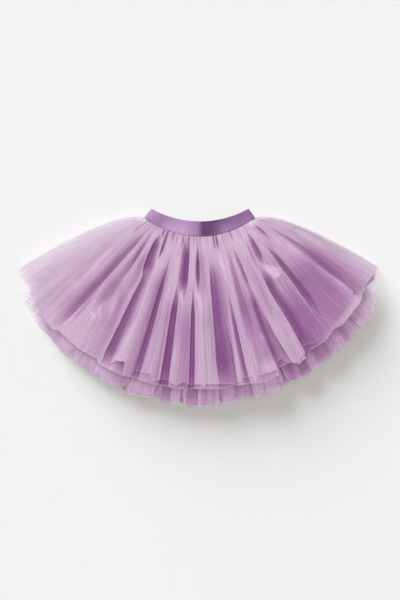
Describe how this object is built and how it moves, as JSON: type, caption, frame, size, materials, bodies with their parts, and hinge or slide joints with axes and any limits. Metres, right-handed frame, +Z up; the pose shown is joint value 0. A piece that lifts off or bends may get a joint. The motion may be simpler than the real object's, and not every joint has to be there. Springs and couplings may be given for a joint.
{
  "type": "tulle skirt",
  "caption": "Girl's gathered tulle skirt with an elastic waistband and two tiers of layered tulle, laid flat on its back.",
  "frame": {"origin": "middle of the laid-out skirt's outline, on the surface that it lies on", "axes": "+X across the skirt, from the left tip in the picture to the right one, +Y from the hem towards the waistband, +Z up off the surface"},
  "size_m": [0.6112, 0.3386, 0.038],
  "materials": {
    "elastic": "ribbed woven elastic with a satin sheen, violet",
    "tulle_outer": "soft fine-mesh tulle, lilac, slight sheen",
    "tulle_second": "soft fine-mesh tulle, lilac",
    "tulle_under": "soft fine-mesh tulle, lilac",
    "tulle_petticoat": "soft fine-mesh tulle, lilac"
  },
  "bodies": {
    "root": {"waistband": "elastic", "outer_front": "tulle_outer", "outer_back": "tulle_outer", "second_front": "tulle_second", "second_back": "tulle_second", "under_front": "tulle_under", "under_back": "tulle_under", "petticoat_front": "tulle_petticoat", "petticoat_back": "tulle_petticoat"}
  },
  "joints": []
}
